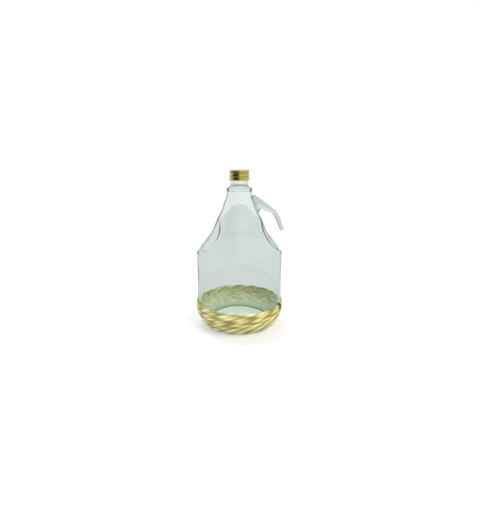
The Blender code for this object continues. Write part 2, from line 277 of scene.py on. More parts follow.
# Base ring, and the core of the rim
BASE_OPENING_RADIUS = 0.0562
MAT_COIL_RADIUS = 0.0616
MAT_COIL_THICKNESS = 0.0016
MAT_COIL_PITCH = 0.0025
MAT_LAYER_SEEDS = (72, 74)
RIM_CORE_RADIUS = 0.0008
RIM_CORE_TWISTS = 60
RIM_CORE_PLIES = 3

# Fineness of the cap's and the basket's meshes
CAP_COLUMNS = 288
CAP_KNURL_STEPS = 4
CAP_KNURL_LOW = (2, 3)
CAP_STEP = 0.0003
CAP_INSIDE_STEPS = 2
SIDE_STEPS = 12
FOLD_STEPS = 8
OUTLINE_FINE_STEP = 0.0004
STRAND_OUTLINE_STEPS = 3
RIM_CORE_SIDES = 8
UV_LENGTH = 0.1

# Finishes. A noise has its scale, detail and roughness, a bump its strength and depth, and a roughness
# what the noise adds to it and its least value. The straw's shares are those of fibres, patches and tone.
# The first, near-black stop is the one that the tucked end's painted shade takes.
STRAW_STOPS = (
    (0.00, (0.012, 0.006, 0.003)),
    (0.24, (0.27, 0.22, 0.050)),
    (0.42, (0.49, 0.42, 0.110)),
    (0.55, (0.72, 0.63, 0.215)),
    (0.74, (0.96, 0.90, 0.50)),
    (0.92, (0.98, 0.96, 0.76)),
)
# Painted shade along each strand's edges, where it meets its neighbours: how dark it gets and how sharply it
# falls off
STRAW_EDGE_SHADE = 0.62
STRAW_EDGE_POWER = 2.6
STRAW_FIBRE_SCALES = (14.0, 9.0, 31.0)
STRAW_FIBRES = (1.0, 3.0, 0.6)
STRAW_PATCH_SCALES = (9.0, 1.6, 17.0)
STRAW_PATCHES = (1.0, 2.0)
STRAW_SHARES = (0.40, 0.25, 0.42)
STRAW_ROUGHNESS = (0.35, 0.28)
STRAW_BUMP = (0.7, 0.0004)
GLASS_COLOUR = (0.952, 0.965, 0.966)
HANDLE_COLOUR = (0.875, 0.870, 0.885)
HANDLE_CLEARANCE = 0.0015
GLASS_IOR = 1.5
GLASS_ROUGHNESS = 0.02
GLASS_TINT = (0.30, 0.62, 0.50)
GLASS_DENSITY = 30.0
GLASS_SHADE = (0.975, 0.980, 0.985)
GLASS_DUST = (60.0, 4.0)
GLASS_RIPPLE = (28.0, 1.0)
GLASS_BUMP = (0.5, 0.0006)
GOLD_STOPS = ((0.35, (0.47, 0.40, 0.12)), (0.65, (0.56, 0.49, 0.16)))
GOLD_PATCHES = (180.0, 3.0)
GOLD_RUBBING_SCALES = (60.0, 60.0, 4000.0)
GOLD_RUBBING = (1.0, 2.0)
GOLD_ROUGHNESS = (0.16, 0.10)
GOLD_BUMP = (0.15, 0.00005)
LINER_STOPS = ((0.40, (0.74, 0.72, 0.66)), (0.60, (0.82, 0.80, 0.75)))
LINER_GRAIN = (900.0, 2.0)
LINER_ROUGHNESS = 0.6
LINER_BUMP = (0.2, 0.0001)

# Studio. A reach is where a change starts and ends, and so is each pair of the dark band's angles from the
# backdrop's middle. The depth counts glass surfaces. A lamp has its name, place, size and power.
TABLE_COLOUR = (0.8, 0.8, 0.8)
TABLE_ROUGHNESS = 0.9
TABLE_HALF_WIDTH = 2.5
TABLE_FRONT = 0.7
TABLE_BACK = 1.7
TABLE_SHADOW = 0.55
TABLE_GLOW_NEAR = 0.40
TABLE_GLOW_COLOUR = (1.0, 0.99, 1.02)
TABLE_SHADOW_REACH = (0.100, 0.170)
TABLE_THROUGH_GLASS = 0.735
TABLE_UNDER_GLASS = 1.05
TABLE_UNDER_REACH = (0.055, 0.080)
TABLE_IN_GLOSS = 0.64
TABLE_SHADOW_IN_GLASS = 0.06
WORLD_LIGHT = 0.65
ROOM_BRIGHT = 0.95
ROOM_DARK = 0.03
ROOM_DARK_WAY = math.radians(217)
ROOM_DARK_HALF_WIDTH = math.radians(43)
ROOM_EDGE_SOFTNESS = 0.26
ROOM_THROUGH_GLASS = 0.85
ROOM_HIGH_THROUGH_GLASS = 0.14
ROOM_HIGH = (-0.25, -0.10)
ONE_WALL_DEPTH = 2.5
DARK_BAND_NEAR = (math.radians(25), math.radians(19))
DARK_BAND_FAR = (math.radians(42), math.radians(36))
LAMP_TARGET = (0.0, 0.0, 0.1)
LAMPS = (
    ("key_lamp", (1.1, -1.3, 1.7), 1.2, 32.0),
    ("top_lamp", (-0.5, 1.2, 1.9), 1.4, 28.0),
)

# Camera, from the photograph's geometry. The sensor's size goes with the longer side, which is the height.
CAMERA_AZIMUTH = math.radians(-6.5)
CAMERA_TILT = math.radians(14.88)
CAMERA_DISTANCE = 0.7442
CAMERA_HEIGHT = 0.3311
PHOTO_HEIGHT = 513
FOCAL_PIXELS = 401.57
SHIFT_PIXELS = 0.6
SENSOR = 36.0
CAMERA_NEAR = 0.01


def collection():
    return bpy.context.scene.collection


def piece(name, bm, finish):
    """An object with this mesh, whose normals are made to face out."""
    bmesh.ops.recalc_face_normals(bm, faces=bm.faces)
    mesh = bpy.data.meshes.new(name)
    bm.to_mesh(mesh)
    bm.free()
    mesh.shade_smooth()
    mesh.set_sharp_from_angle(angle=SHARP_ANGLE)
    obj = bpy.data.objects.new(name, mesh)
    obj.data.materials.append(finish)
    collection().objects.link(obj)
    return obj


def combine(target, other, operation):
    """Joins the other object to the target or cuts it away, and deletes it."""
    modifier = target.modifiers.new(other.name, "BOOLEAN")
    modifier.operation = operation
    modifier.solver = "EXACT"
    modifier.object = other
    bpy.context.view_layer.update()
    evaluated = target.evaluated_get(bpy.context.evaluated_depsgraph_get())
    mesh = bpy.data.meshes.new_from_object(evaluated)
    target.modifiers.clear()
    target.data = mesh
    bpy.data.objects.remove(other)


def skin(rows, first_pole, last_pole):
    """A closed bmesh over rings of points, each end of which is closed by a fan round a pole."""
    bm = bmesh.new()
    rings = [[bm.verts.new(point) for point in row] for row in rows]
    count = len(rings[0])
    for lower, upper in zip(rings, rings[1:]):
        for i in range(count):
            j = (i + 1) % count
            bm.faces.new((lower[i], lower[j], upper[j], upper[i]))
    for pole, ring in ((first_pole, rings[0]), (last_pole, rings[-1])):
        tip = bm.verts.new(pole)
        for i in range(count):
            bm.faces.new((ring[i], ring[(i + 1) % count], tip))
    return bm


def middle_of(points):
    return sum((Vector(point) for point in points), Vector()) / len(points)


def smooth_line(points, steps):
    """A Catmull-Rom curve through the points, with this many steps between each two."""
    ends = [tuple(2 * a - b for a, b in zip(points[0], points[1]))]
    ends += list(points)
    ends.append(tuple(2 * a - b for a, b in zip(points[-1], points[-2])))
    line = []
    for i in range(1, len(ends) - 2):
        p0, p1, p2, p3 = ends[i - 1 : i + 3]
        for k in range(steps):
            t = k / steps
            line.append(
                tuple(
                    b + t / 2 * (c - a + t * (2 * a - 5 * b + 4 * c - d + t * (3 * (b - c) + d - a)))
                    for a, b, c, d in zip(p0, p1, p2, p3)
                )
            )
    line.append(tuple(points[-1]))
    return line


def spaced(line, step):
    """The same polyline with points at about this distance from each other."""
    lengths = [0.0]
    for a, b in zip(line, line[1:]):
        lengths.append(lengths[-1] + math.dist(a, b))
    count = max(2, round(lengths[-1] / step))
    made = []
    k = 0
    for i in range(count + 1):
        want = lengths[-1] * i / count
        while k < len(lengths) - 2 and lengths[k + 1] < want:
            k += 1
        share = (want - lengths[k]) / (lengths[k + 1] - lengths[k])
        made.append(tuple(a + (b - a) * share for a, b in zip(line[k], line[k + 1])))
    return made


def bend(low_end, high_end, value):
    """0 below low_end, 1 above high_end, and smooth between them."""
    share = min(1.0, max(0.0, (value - low_end) / (high_end - low_end)))
    return share * share * (3 - 2 * share)


def shoulder(inset):
    """The shoulder's outline as a smooth line, moved inwards along its own normal."""
    outline = [(BODY_RADIUS, SHOULDER_Z)]
    for up, out in SHOULDER_SHARES:
        outline.append((NECK_RADIUS + out * (BODY_RADIUS - NECK_RADIUS), SHOULDER_Z + up * SHOULDER_HEIGHT))
    outline.append((NECK_RADIUS, NECK_Z))
    line = spaced(smooth_line(outline, OUTLINE_STEPS), OUTLINE_STEP)
    moved = []
    for i, point in enumerate(line):
        before = Vector(line[max(i - 1, 0)])
        after = Vector(line[min(i + 1, len(line) - 1)])
        along = (after - before).normalized() if 0 < i < len(line) - 1 else Vector((0.0, 1.0))
        moved.append((point[0] - along.y * inset, point[1] + along.x * inset))
    return moved


def punt(floor):
    """The raised middle of the bottom, from just off the axis out to the ring that the bottle stands on."""
    points = []
    for i in range(1, PUNT_STEPS + 1):
        share = i / PUNT_STEPS
        points.append((PUNT_RADIUS * share, floor + PUNT_RISE * (1 - share * share)))
    return points


def arc_point(radius, angle):
    """A point of the side's arc of this radius, this angle below the arc's top."""
    return (SIDE_CENTRE_RADIUS + radius * math.cos(angle), SIDE_CENTRE_Z - radius * math.sin(angle))


def heel(radius, fillet, bottom):
    """From the flat of the bottom round a fillet and up the side's arc to the straight wall."""
    meet = math.asin((SIDE_CENTRE_Z - bottom - fillet) / (radius - fillet))
    centre = arc_point(radius - fillet, meet)
    points = []
    for i in range(HEEL_STEPS + 1):
        angle = math.pi / 2 + (meet - math.pi / 2) * i / HEEL_STEPS
        points.append((centre[0] + fillet * math.cos(angle), centre[1] - fillet * math.sin(angle)))
    for i in range(1, HEEL_STEPS + 1):
        angle = meet * (1 - i / HEEL_STEPS)
        points.append(arc_point(radius, angle))
    return points


def hollow_rise(z):
    """Height above the hollows' middle, where 1 is their upper and -1 their lower end."""
    middle = SHOULDER_Z + HOLLOW_HEIGHT_SHARE * SHOULDER_HEIGHT
    reach = HOLLOW_UP_SHARE if z > middle else HOLLOW_DOWN_SHARE
    return (z - middle) / (reach * SHOULDER_HEIGHT)


def hollow_edge(rise):
    """Angle from a hollow's middle to the column that runs along its edge. It fans out past the ends."""
    if abs(rise) < 1:
        power = HOLLOW_UP_POWER if rise > 0 else HOLLOW_DOWN_POWER
        return max(HOLLOW_HALF_ANGLE * (1 - abs(rise) ** power) ** (1 / power), HOLLOW_TIP_ANGLE)
    spread = bend(1.0, 1.0 + HOLLOW_FAN_SHARE, abs(rise))
    return HOLLOW_TIP_ANGLE + (HOLLOW_HALF_ANGLE - HOLLOW_TIP_ANGLE) * spread


def hollow_share(rise):
    """How deep a hollow is along its middle, which fades out slowly upwards and soon at the lower end."""
    return 1 - bend(0.0, 1.0, rise) if rise > 0 else bend(-1.0, HOLLOW_END_SHARE - 1.0, rise)


def bottle_ring(radius, z, ripple):
    """One ring of the bottle's skin, drawn in at +X and -X where it crosses the hollows."""
    rise = hollow_rise(z)
    edge = hollow_edge(rise)
    quarter = math.pi / 2
    points = []
    for i in range(BOTTLE_COLUMNS):
        turn = TAU * i / BOTTLE_COLUMNS
        middle = 0.0 if math.cos(turn) >= 0 else math.pi
        side = (turn - middle + math.pi) % TAU - math.pi
        size = abs(side)
        if size <= HOLLOW_HALF_ANGLE:
            size *= edge / HOLLOW_HALF_ANGLE
        else:
            size = edge + (quarter - edge) * (size - HOLLOW_HALF_ANGLE) / (quarter - HOLLOW_HALF_ANGLE)
        angle = middle + math.copysign(size, side)
        inside = max(0.0, 1 - (size / edge) ** 2)
        reach = radius - HOLLOW_DEPTH * hollow_share(rise) * inside**HOLLOW_FULLNESS
        place = Vector((reach * math.cos(angle), reach * math.sin(angle), z))
        reach += ripple * noise.noise(place / RIPPLE_LENGTH)
        points.append((reach * math.cos(angle), reach * math.sin(angle), z))
    return points


def straight(radius, start_z, end_z, step):
    """The inner points of a straight wall between two heights."""
    count = max(1, round(abs(end_z - start_z) / step))
    return [(radius, start_z + (end_z - start_z) * i / count) for i in range(1, count)]


def bottle_outside():
    radius = SIDE_RADIUS - (BASKET_RADIUS - BODY_RADIUS)
    profile = punt(BOTTLE_BOTTOM)
    profile += heel(radius, HEEL_FILLET, BOTTLE_BOTTOM)
    profile += straight(BODY_RADIUS, SIDE_CENTRE_Z, SHOULDER_Z, WALL_STEP)
    profile += shoulder(0.0)
    ring_round = RING_HEIGHT / 4
    bead = [
        (NECK_RADIUS, RING_Z),
        (RING_RADIUS - ring_round / 3, RING_Z + ring_round / 2),
        (RING_RADIUS, RING_Z + RING_HEIGHT / 2),
        (RING_RADIUS - ring_round / 3, RING_Z + RING_HEIGHT - ring_round / 2),
        (RING_RADIUS - ring_round, RING_Z + RING_HEIGHT),
    ]
    profile += smooth_line(bead, BEAD_STEPS)
    flare = [
        (FINISH_RADIUS + FINISH_FLARE + ring_round / 2, FINISH_Z - ring_round / 4),
        (FINISH_RADIUS + FINISH_FLARE / 2, FINISH_Z + FINISH_FLARE / 3),
        (FINISH_RADIUS, FINISH_Z + 2 * FINISH_FLARE),
    ]
    profile += smooth_line(flare, BEAD_STEPS)
    profile += straight(FINISH_RADIUS, FINISH_Z + 2 * FINISH_FLARE, MOUTH_Z - LIP_ROUND, WALL_STEP)
    for i in range(BEAD_STEPS + 1):
        angle = math.pi / 2 * i / BEAD_STEPS
        profile.append((
            FINISH_RADIUS - LIP_ROUND * (1 - math.cos(angle)),
            MOUTH_Z - LIP_ROUND * (1 - math.sin(angle)),
        ))
    rows = [bottle_ring(r, z, 0.0) for r, z in profile]
    return skin(rows, (0.0, 0.0, BOTTLE_BOTTOM + PUNT_RISE), (0.0, 0.0, MOUTH_Z))


def bottle_inside():
    radius = SIDE_RADIUS - (BASKET_RADIUS - BODY_RADIUS) - WALL
    floor = BOTTLE_BOTTOM + FLOOR_THICKNESS
    top_z = MOUTH_Z + PITCH
    profile = punt(floor)
    profile += heel(radius, HEEL_FILLET - WALL, floor)
    profile += straight(BODY_RADIUS - WALL, SIDE_CENTRE_Z, SHOULDER_Z, WALL_STEP)
    profile += shoulder(WALL)
    throat = [
        (NECK_RADIUS - WALL, RING_Z - RING_HEIGHT / 2),
        (NECK_RADIUS - WALL - FINISH_FLARE, RING_Z + RING_HEIGHT / 2),
        (BORE_RADIUS + FINISH_FLARE / 2, FINISH_Z - RING_SLOPE / 2),
        (BORE_RADIUS, FINISH_Z + FINISH_FLARE),
    ]
    profile += smooth_line(throat, BEAD_STEPS)
    profile.append((BORE_RADIUS, MOUTH_Z - LIP_ROUND / 2))
    profile.append((BORE_RADIUS + LIP_ROUND / 2, MOUTH_Z + LIP_ROUND / 8))
    profile.append((BORE_RADIUS + LIP_ROUND / 2, top_z))
    rows = [bottle_ring(r, z, RIPPLE) for r, z in profile]
    return skin(rows, (0.0, 0.0, floor + PUNT_RISE), (0.0, 0.0, top_z))


def handle_point(out, down):
    """A point in the handle's plane, as shares of its reach and of its drop from the root."""
    root = Vector((NECK_RADIUS + HANDLE_ROOT_INSET, 0.0, SHOULDER_Z + HANDLE_ROOT_SHARE * SHOULDER_HEIGHT))
    return root + Vector((out * HANDLE_REACH, 0.0, -down * HANDLE_DROP))


def handle():
    """A flat bar with rounded edges that leaves the shoulder, bends once and ends free in a rounded tip."""
    rows = []
    shares = smooth_line(HANDLE_SHARES, HANDLE_STEPS)
    for upper_out, upper_down, lower_out, lower_down, thickness_share in shares:
        upper, lower = handle_point(upper_out, upper_down), handle_point(lower_out, lower_down)
        middle, half = (upper + lower) / 2, (upper - lower) / 2
        half_thickness = HANDLE_THICKNESS * thickness_share / 2
        rows.append(bar_ring(middle, half, half_thickness))
    ahead = Vector((half.z, 0.0, -half.x)).normalized() * HANDLE_TIP
    if ahead.z > 0:
        ahead.negate()
    for i in range(1, HANDLE_TIP_STEPS):
        angle = math.pi / 2 * i / HANDLE_TIP_STEPS
        narrow = math.cos(angle) ** HANDLE_TIP_FULLNESS
        rows.append(bar_ring(middle + ahead * math.sin(angle), half * narrow, half_thickness * narrow))
    return skin(rows, middle_of(rows[0]), middle + ahead)


def bar_ring(middle, half_width, half_thickness):
    """A rounded oblong, fuller than an ellipse."""
    points = []
    for i in range(HANDLE_SIDES):
        angle = TAU * i / HANDLE_SIDES
        c = math.copysign(abs(math.cos(angle)) ** HANDLE_FULLNESS, math.cos(angle))
        s = math.copysign(abs(math.sin(angle)) ** HANDLE_FULLNESS, math.sin(angle))
        points.append(middle + half_width * c + Vector((0.0, half_thickness * s, 0.0)))
    return points


def thread():
    """The glass ridge along a right-handed helix, which tapers into the mouth at both ends."""
    steps = round(THREAD_TURNS * THREAD_COLUMNS)
    rows = []
    for i in range(steps + 1):
        turn = i / THREAD_COLUMNS
        from_end = min(turn, THREAD_TURNS - turn)
        rise = THREAD_DEPTH * bend(-THREAD_TAPER_TURNS / 4, THREAD_TAPER_TURNS, from_end)
        z = THREAD_TOP_Z - (THREAD_TURNS - turn) * PITCH
        out = Vector((math.cos(TAU * turn), math.sin(TAU * turn), 0.0))
        ring = [out * (FINISH_RADIUS - THREAD_ROOT) + Vector((0.0, 0.0, z))]
        for k in range(THREAD_SIDES + 1):
            across = 2 * k / THREAD_SIDES - 1
            lift = (THREAD_ROOT + rise) * math.cos(across * math.pi / 2) ** THREAD_FULLNESS - THREAD_ROOT
            ring.append(out * (FINISH_RADIUS + lift) + Vector((0.0, 0.0, z + across * THREAD_HALF_WIDTH)))
        rows.append(ring)
    return skin(rows, middle_of(rows[0]), middle_of(rows[-1]))


def build_bottle(glass):
    bottle = piece("glass_bottle", bottle_outside(), glass)
    combine(bottle, piece("handle_shape", handle(), glass), "UNION")
    combine(bottle, piece("thread_shape", thread(), glass), "UNION")
    combine(bottle, piece("inside_shape", bottle_inside(), glass), "DIFFERENCE")
    bottle.data.shade_smooth()
    bottle.data.set_sharp_from_angle(angle=GLASS_SHARP_ANGLE)
    mark_handle(bottle.data)
    dress(bottle, "bottle", "bottle_glass", "bottle")


def mark_handle(mesh):
    """Marks with 1 the corners that lie clearly outside the shoulder, which are the handle's."""
    line = shoulder(0.0)
    mark = mesh.attributes.new("handle", "FLOAT", "POINT")
    for vert, value in zip(mesh.vertices, mark.data):
        z = vert.co.z
        nearest = min(line, key=lambda point: abs(point[1] - z))
        beyond = math.hypot(vert.co.x, vert.co.y) - nearest[0]
        if SHOULDER_Z < z < NECK_Z:
            value.value = bend(0.0, HANDLE_CLEARANCE, beyond)


def dress(obj, body, slot, *nodes):
    """Puts a piece on its body and lets it stand for its nodes, which are hidden; the slot is not used."""
    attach(obj, body)
    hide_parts(*nodes)


def screw_dip(angle, z):
    """How far the cap's rolled thread is pressed in at this place."""
    deepest = 0.0
    top_z = THREAD_TOP_Z - PITCH / 2
    turn = (angle % TAU) / TAU
    while turn <= THREAD_TURNS:
        off = abs(z - top_z + (THREAD_TURNS - turn) * PITCH) / CAP_THREAD_HALF_WIDTH
        if off < 1:
            from_end = min(turn, THREAD_TURNS - turn)
            run = bend(0.0, THREAD_TAPER_TURNS, from_end)
            deepest = max(deepest, CAP_THREAD_DEPTH * run * math.cos(off * math.pi / 2) ** 2)
        turn += 1
    return deepest


def cap_ring(radius, z, knurl):
    points = []
    for i in range(CAP_COLUMNS):
        angle = TAU * i / CAP_COLUMNS
        reach = radius - screw_dip(angle, z)
        if knurl:
            reach -= CAP_KNURL_DEPTH * (i % CAP_KNURL_STEPS in CAP_KNURL_LOW)
        points.append((reach * math.cos(angle), reach * math.sin(angle), z))
    return points


def build_cap(gold, liner_finish):
    inner = CAP_RADIUS - CAP_SHEET
    band = CAP_RADIUS - CAP_BAND_INSET
    groove_z = CAP_TOP_Z - CAP_BAND_HEIGHT
    skirt_z = groove_z - CAP_GROOVE_HEIGHT - CAP_GROOVE_DEPTH
    hem_z = CAP_BOTTOM_Z + CAP_HEM_HEIGHT
    panel_z = CAP_TOP_Z - CAP_PANEL_DEPTH
    rows = [
        cap_ring(CAP_PANEL_RADIUS / 2, panel_z, False),
        cap_ring(CAP_PANEL_RADIUS - CAP_EDGE_ROUND / 2, panel_z, False),
        cap_ring(CAP_PANEL_RADIUS, CAP_TOP_Z, False),
    ]
    for i in range(BEAD_STEPS + 1):
        angle = math.pi / 2 * i / BEAD_STEPS
        z = CAP_TOP_Z - CAP_EDGE_ROUND * (1 - math.cos(angle))
        rows.append(cap_ring(band - CAP_EDGE_ROUND * (1 - math.sin(angle)), z, False))
    for z in (CAP_TOP_Z - CAP_EDGE_ROUND * 4 / 3, groove_z + CAP_EDGE_ROUND / 3):
        rows.append(cap_ring(band, z, True))
    groove = [
        (band, groove_z),
        (CAP_RADIUS - CAP_GROOVE_DEPTH, groove_z - CAP_GROOVE_HEIGHT / 2),
        (CAP_RADIUS - CAP_GROOVE_DEPTH, groove_z - CAP_GROOVE_HEIGHT),
        (CAP_RADIUS, skirt_z),
    ]
    outside = smooth_line(groove, BEAD_STEPS) + straight(CAP_RADIUS, skirt_z, hem_z, CAP_STEP)
    hem = [
        (CAP_RADIUS, hem_z),
        (CAP_RADIUS + CAP_HEM_BULGE, CAP_BOTTOM_Z + CAP_HEM_HEIGHT * 2 / 3),
        (CAP_RADIUS + CAP_HEM_BULGE, CAP_BOTTOM_Z + CAP_HEM_HEIGHT / 3),
        (CAP_RADIUS, CAP_BOTTOM_Z),
        (inner, CAP_BOTTOM_Z),
    ]
    outside += smooth_line(hem, BEAD_STEPS)
    inside = [(radius - CAP_SHEET, z) for radius, z in smooth_line(groove, CAP_INSIDE_STEPS)]
    outside += straight(inner, CAP_BOTTOM_Z, skirt_z, CAP_STEP * 2) + inside[::-1]
    outside += [(band - CAP_SHEET, CAP_TOP_Z - CAP_SHEET), (CAP_PANEL_RADIUS, CAP_TOP_Z - CAP_SHEET)]
    outside.append((CAP_PANEL_RADIUS / 2, panel_z - CAP_SHEET))
    rows += [cap_ring(radius, z, False) for radius, z in outside]
    bm = skin(rows, (0.0, 0.0, panel_z), (0.0, 0.0, panel_z - CAP_SHEET))
    dress(piece("gold_cap", bm, gold), "cap", "cap_metal", "cap_shell")
    low_z, top_z = low("cap_liner").z, high("cap_liner").z
    liner_radius = high("cap_liner").y
    edge = (top_z - low_z) / 4
    disc = [
        (liner_radius / 2, low_z),
        (liner_radius * LINER_RING_SHARE - edge, low_z),
        (liner_radius * LINER_RING_SHARE, low_z + edge),
        (liner_radius * LINER_RING_SHARE + edge, low_z),
        (liner_radius - edge, low_z),
        (liner_radius, low_z + edge),
        (liner_radius, top_z - edge),
        (liner_radius - edge, top_z),
        (liner_radius / 2, top_z),
    ]
    rows = [lathe_ring(radius, z, BOTTLE_COLUMNS // 2) for radius, z in disc]
    liner = piece("liner_disc", skin(rows, (0.0, 0.0, low_z), (0.0, 0.0, top_z)), liner_finish)
    dress(liner, "liner", "cap_liner", "cap_liner")


def lathe_ring(radius, z, columns):
    turns = [TAU * i / columns for i in range(columns)]
    return [(radius * math.cos(turn), radius * math.sin(turn), z) for turn in turns]


def side_points(offset, low_z):
    """The arc this far inside the basket's skin, from this height up to its top, which is left out."""
    radius = SIDE_RADIUS - offset
    start = math.asin((SIDE_CENTRE_Z - low_z) / radius)
    return [arc_point(radius, start * (1 - i / SIDE_STEPS)) for i in range(SIDE_STEPS)]


class Outline:
    """A line in the plane of radius and height that can be read at any distance along it."""

    def __init__(self, points):
        self.points = spaced(points, OUTLINE_FINE_STEP)
        self.length = sum(math.dist(a, b) for a, b in zip(self.points, self.points[1:]))

    def at(self, distance):
        """Radius, height, and the outward direction's two parts."""
        place = min(max(distance / self.length, 0.0), 1.0) * (len(self.points) - 1)
        i = min(int(place), len(self.points) - 2)
        a, b = Vector(self.points[i]), Vector(self.points[i + 1])
        before = Vector(self.points[max(i - 1, 0)])
        after = Vector(self.points[min(i + 2, len(self.points) - 1)])
        along = (after - before).normalized()
        point = a + (b - a) * (place - i)
        return point.x, point.y, along.y, -along.x


def strand_outline():
    """The middle of a strand's thickness: from the base ring up the side, over the rim and down inside."""
    offset = STRAND_THICKNESS / 2 - STRAND_PROUD
    points = [(STRAND_START_RADIUS, STRAND_FOOT_Z), ((STRAND_START_RADIUS + MAT_RADIUS) / 2, STRAND_FOOT_Z)]
    points += side_points(offset, STRAND_FOOT_Z + STRAND_THICKNESS)
    outer = BASKET_RADIUS - offset
    fold_z = RIM_TOP_Z - STRAND_THICKNESS / 2 - STRAND_FOLD_RADIUS
    points += [(outer, SIDE_CENTRE_Z)]
    for i in range(FOLD_STEPS + 1):
        angle = math.pi * i / FOLD_STEPS
        points.append((
            outer - STRAND_FOLD_RADIUS * (1 - math.cos(angle)),
            fold_z + STRAND_FOLD_RADIUS * math.sin(angle),
        ))
    points.append((outer - 2 * STRAND_FOLD_RADIUS, STRAND_TAIL_Z))
    return Outline(smooth_line(points, STRAND_OUTLINE_STEPS))


class Straw:
    """A mesh that strands are added to, with how far along and across its strand each corner lies."""

    def __init__(self):
        self.bm = bmesh.new()
        self.uv = self.bm.loops.layers.uv.new("strand")
        self.tone = self.bm.verts.layers.float.new("tone")

    def add(self, rings, alongs, tones):
        count = len(rings[0])
        half = count // 2
        acrosses = [k / (half - 1) for k in range(half)] + [1 - k / (half - 1) for k in range(half)]
        made = []
        for ring, tone in zip(rings, tones):
            verts = [self.bm.verts.new(point) for point in ring]
            for vert in verts:
                vert[self.tone] = tone
            made.append(verts)
        for i in range(len(made) - 1):
            for k in range(count):
                j = (k + 1) % count
                face = self.bm.faces.new((made[i][k], made[i][j], made[i + 1][j], made[i + 1][k]))
                places = ((i, k), (i, j), (i + 1, j), (i + 1, k))
                for loop, (row, column) in zip(face.loops, places):
                    loop[self.uv].uv = (alongs[row] / UV_LENGTH, acrosses[column])
        for verts, along in ((made[0], alongs[0]), (made[-1], alongs[-1])):
            face = self.bm.faces.new(verts)
            for loop in face.loops:
                loop[self.uv].uv = (along / UV_LENGTH, 0.5)


def lens_ring(outline, middle, turn, width, thickness, lift, tilt, edge_share):
    """One section of a strand: a lens along the outline, whose edges are lifted and lowered by tilt."""
    front, back = [], []
    for k in range(STRAND_SIDES):
        across = 2 * k / (STRAND_SIDES - 1) - 1
        radius, z, out, up = outline.at(middle + across * width / 2)
        half = thickness / 2 * (edge_share + (1 - edge_share) * (1 - across * across))
        for side, points in ((1, front), (-1, back)):
            off = lift + tilt * across + side * half
            reach = radius + out * off
            points.append((reach * math.cos(turn), reach * math.sin(turn), z + up * off))
    return front + back[::-1]


def leaf_tones(alongs, seed, leaf):
    """A tone for each place along a strand, which changes from one leaf of straw to the next."""
    chance = random.Random(seed)
    tones = []
    tone = chance.random()
    left = leaf * chance.uniform(*LEAF_FIRST_SHARES)
    for i in range(len(alongs)):
        left -= alongs[i] - alongs[i - 1] if i else 0.0
        if left < 0:
            tone = chance.random()
            left = leaf * chance.uniform(*LEAF_SHARES)
        tones.append(tone)
    return tones


def build_strand(index, outline, finish):
    """One strand of the outside, with the lens-shaped swellings of straw that goes over and under; each
    swelling's crest is painted paler and its trough darker, as painted highlight and shade.
    """
    turn_pitch = TAU * BASKET_RADIUS * math.tan(STRAND_LAY)
    spacing = turn_pitch / STRAND_COUNT
    first = spacing / 2
    last = outline.length - spacing / 2
    climb = last - first
    run = climb / math.tan(STRAND_LAY)
    count = round(run / STRAND_STEP)
    rings, alongs, crest_lights = [], [], []
    fold = outline.length - (RIM_TOP_Z - STRAND_TAIL_Z) - math.pi * STRAND_FOLD_RADIUS / 2
    phase = random.Random(index).uniform(0.0, TAU)
    for i in range(count + 1):
        along = run * i / count
        middle = first + climb * i / count
        turn = TAU * index / STRAND_COUNT + along / BASKET_RADIUS
        wave = math.sin(TAU * along / (2 * STRAND_LENS) + phase)
        place = Vector((along / STRAND_WANDER_LENGTH, index * STRAND_NOISE_SPREAD, 0.0))
        wander = noise.noise(place)
        twist = noise.noise(place + Vector((0.0, 0.0, STRAND_TWIST_LAYER)))
        free = (1 - bend(fold - spacing, fold, middle)) * bend(0.0, STRAND_FLAT_SPACINGS * spacing, middle)
        taper = bend(-STRAND_TAPER, STRAND_TAPER, min(along, run - along))
        edge_share = 1 + (STRAND_EDGE_SHARE - 1) * bend(0.0, STRAND_BLUNT_SPACINGS * spacing, middle)
        crest_light = 0.5 + 0.5 * wave
        width = spacing * STRAND_OVERLAP_SHARE * (1 + STRAND_SWELL_SHARE * wave) * taper
        lift = free * STRAND_BULGE * wave
        tilt = free * STRAND_TILT * 2 * twist
        thickness = STRAND_THICKNESS * (1 - STRAND_FOLD_THINNING * bend(fold - spacing, fold, middle))
        middle += STRAND_WANDER * wander
        rings.append(lens_ring(outline, middle, turn, width, thickness, lift, tilt, edge_share))
        alongs.append(along + index)
        crest_lights.append(crest_light)
    straw = Straw()
    leaves = leaf_tones(alongs, index, STRAND_LEAF)
    # Painted highlight and shade: the tone is paler on each swelling's crest and darker in its trough.
    tones = [leaf + (crest_light - leaf) * STRAND_CREST_LIGHT_SHARE for leaf, crest_light in zip(leaves, crest_lights)]
    straw.add(rings, alongs, tones)
    if index == TUCKED_INDEX:
        straw.add(*tucked_end(outline))
    name = f"straw_strand_{index + 1:02d}"
    dress(piece(name, straw.bm, finish), "basket", "straw", f"strand_{index + 1:02d}")


def tucked_end(outline):
    """A strand's end tucked in under the rim, coloured near-black: painted shade of a gap in the weave."""
    rings, alongs = [], []
    for i in range(TUCKED_STEPS + 1):
        share = 2 * i / TUCKED_STEPS - 1
        along = share * TUCKED_LENGTH / 2
        turn = TUCKED_TURN + along * math.tan(TUCKED_LEAN) / BASKET_RADIUS
        width = TUCKED_WIDTH * max(1 - share * share, TUCKED_TIP_SHARE) ** 0.5
        section = (width, STRAND_THICKNESS, TUCKED_LIFT, 0.0, STRAND_EDGE_SHARE)
        rings.append(lens_ring(outline, TUCKED_PLACE + along, turn, *section))
        alongs.append(along)
    # A tone below the straw ramp, which takes its near-black first stop: painted shade.
    return rings, alongs, [TUCKED_SHADE_TONE] * len(rings)


